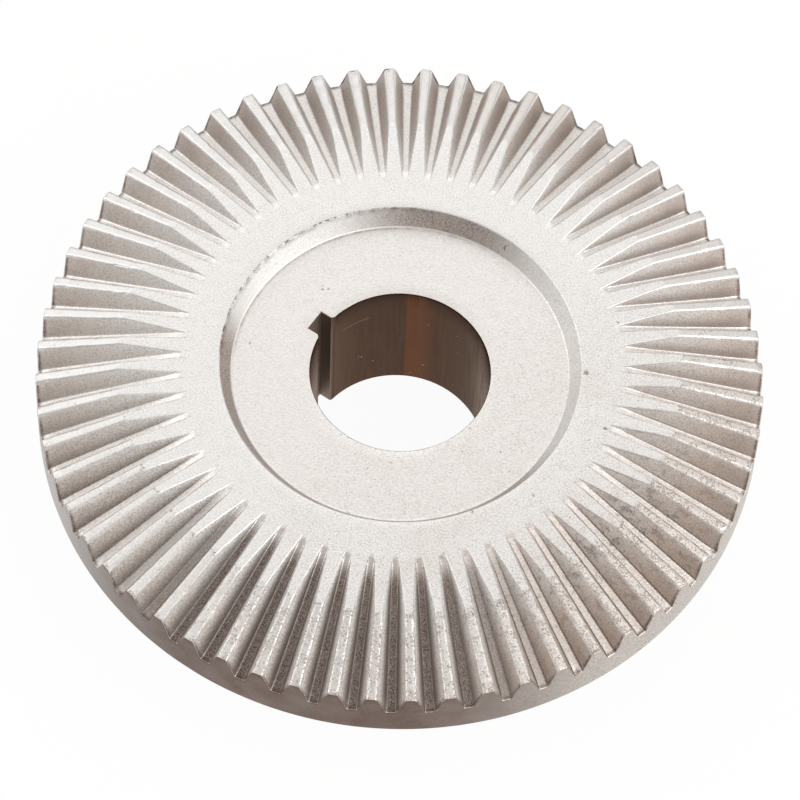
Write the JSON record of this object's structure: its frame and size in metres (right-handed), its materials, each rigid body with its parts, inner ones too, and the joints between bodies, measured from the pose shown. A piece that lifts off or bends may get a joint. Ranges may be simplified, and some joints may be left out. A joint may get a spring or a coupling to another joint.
{
  "type": "bevel gear",
  "caption": "Straight bevel gear with a flat front face, a shallow round recess, a keyed bore and a plain hub behind the rim.",
  "frame": {"origin": "centre of the hub's end face, on the axis of the bore", "axes": "+Z along the bore axis, from the hub's end to the toothed face; the keyway points 148 degrees from +X towards +Y"},
  "size_m": [0.0768, 0.0768, 0.02],
  "materials": {
    "sintered_steel": "as sintered, pale warm grey, matte and finely pitted"
  },
  "bodies": {
    "root": {"bevel_gear": "sintered_steel"}
  },
  "joints": []
}
